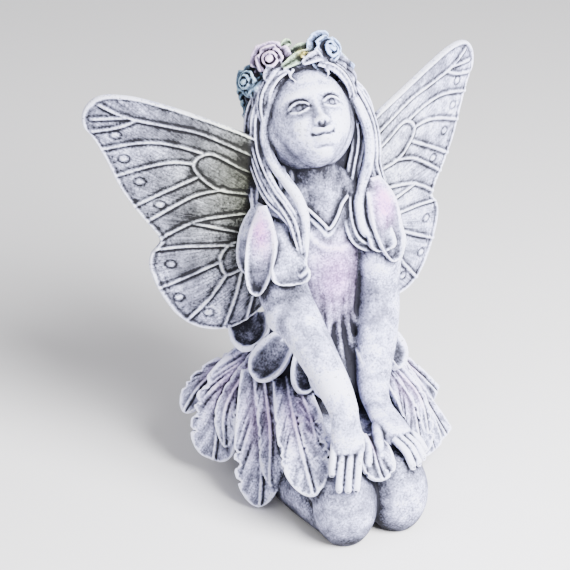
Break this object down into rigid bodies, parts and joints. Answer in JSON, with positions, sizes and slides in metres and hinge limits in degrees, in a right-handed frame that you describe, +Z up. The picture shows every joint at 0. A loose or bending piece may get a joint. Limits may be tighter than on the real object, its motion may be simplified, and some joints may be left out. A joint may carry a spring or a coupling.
{
  "type": "fairy figurine",
  "caption": "Winged girl kneeling with her hands on her lap and her face turned up, in a dress of petals and feathers, with a wreath of roses; whitewashed one-piece casting.",
  "frame": {"origin": "middle of the figure's box, on the surface that she kneels on", "axes": "+Z up through the head, -Y towards the knees and the face's side, +X to her left"},
  "size_m": [0.196, 0.1242, 0.2107],
  "materials": {
    "cast": "matte whitewash over a dark slate wash, fine pits"
  },
  "bodies": {
    "root": {"fairy_figurine": "cast"}
  },
  "joints": []
}
